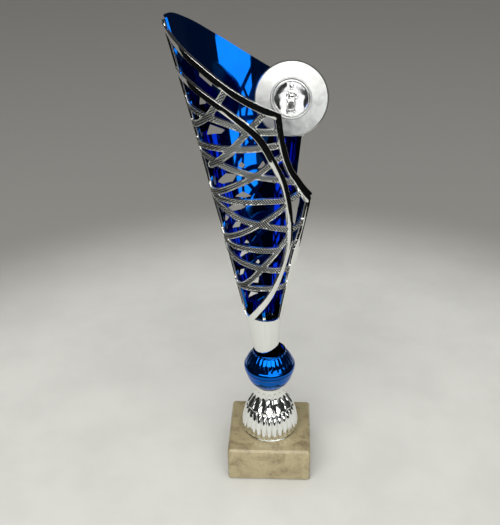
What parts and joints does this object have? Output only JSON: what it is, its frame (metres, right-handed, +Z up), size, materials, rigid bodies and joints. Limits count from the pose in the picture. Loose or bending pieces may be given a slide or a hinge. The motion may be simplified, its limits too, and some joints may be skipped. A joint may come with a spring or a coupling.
{
  "type": "column trophy",
  "caption": "Trophy with a square marble base, fluted foot, round knop and a tall slanted cup of open-work and closed half shells, with a medal holder at the low end of the mouth.",
  "frame": {"origin": "middle of the underside of the felt under the base, on the tie rod's axis", "axes": "+Z up along the tie rod; +X to the right of a viewer who faces the open-work shell, towards the medal holder; -Y to the front"},
  "size_m": [0.1036, 0.0819, 0.3442],
  "materials": {
    "felt": "dense dark felt",
    "marble": "polished beige stone with fine brown and grey mottling",
    "steel": "zinc plated",
    "chrome": "mirror bright metallised plastic",
    "blue_lustre": "deep blue metallised plastic, mirror gloss",
    "rubber": "matte black",
    "satin_silver": "satin silver",
    "bright_silver": "polished silver relief"
  },
  "bodies": {
    "base": {"felt_pad": "felt", "marble_base": "marble", "base_washer": "steel", "lock_washer": "steel", "base_nut": "steel", "tie_rod": "steel", "foot_flange": "chrome", "fluted_foot": "chrome", "knop_bowl": "blue_lustre", "knop_cap": "blue_lustre", "seat_washer": "rubber", "cup_washer": "steel", "cup_nut": "steel"},
    "cup": {"front_shell": "chrome", "rear_shell": "blue_lustre", "medal_disc": "satin_silver", "emblem_disc": "bright_silver", "medal_bracket": "steel", "medal_pad": "rubber"}
  },
  "joints": [
    {"name": "cup_turn", "type": "hinge", "parent": "base", "child": "cup", "pos_m": [0, 0, 0.0584], "axis": [0, 0, 1], "continuous": true}
  ]
}
